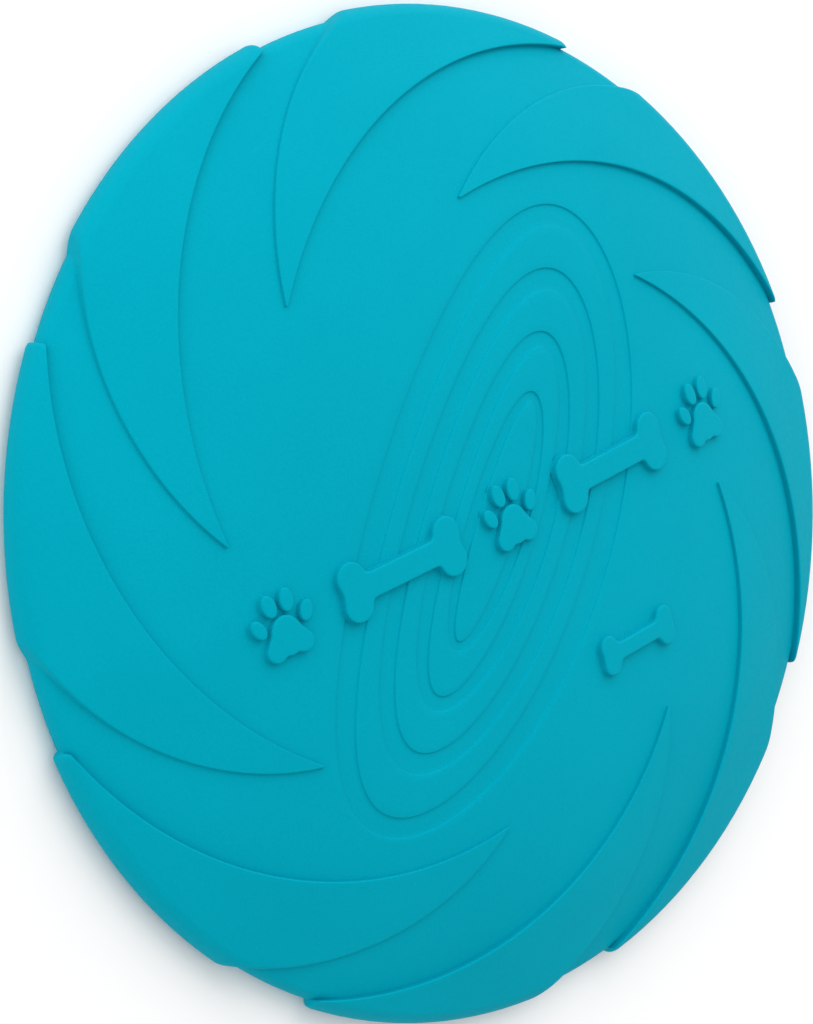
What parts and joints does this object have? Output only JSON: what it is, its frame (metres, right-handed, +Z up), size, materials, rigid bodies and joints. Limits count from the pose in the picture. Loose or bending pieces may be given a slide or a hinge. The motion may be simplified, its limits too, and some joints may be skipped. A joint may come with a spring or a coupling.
{
  "type": "rubber flying disc",
  "caption": "Domed rubber throwing disc with raised swirl vanes over a thick rounded rim, shallow oval grooves and raised paw and bone motifs.",
  "frame": {"origin": "on the spin axis, in the plane that the rim stands on", "axes": "+Z up along the spin axis, out of the domed face; +X along the row of paw prints and bones, in reading direction; +Y towards the paws' toes"},
  "size_m": [0.18, 0.18, 0.0213],
  "materials": {
    "rubber": "matte moulded natural rubber, turquoise, fine even grain"
  },
  "bodies": {
    "root": {"flight_plate": "rubber", "rim": "rubber", "vane_1": "rubber", "vane_2": "rubber", "vane_3": "rubber", "vane_4": "rubber", "vane_5": "rubber", "vane_6": "rubber", "vane_7": "rubber", "vane_8": "rubber", "paw_left": "rubber", "bone_left": "rubber", "paw_centre": "rubber", "bone_right": "rubber", "paw_right": "rubber", "bone_small": "rubber"}
  },
  "joints": []
}
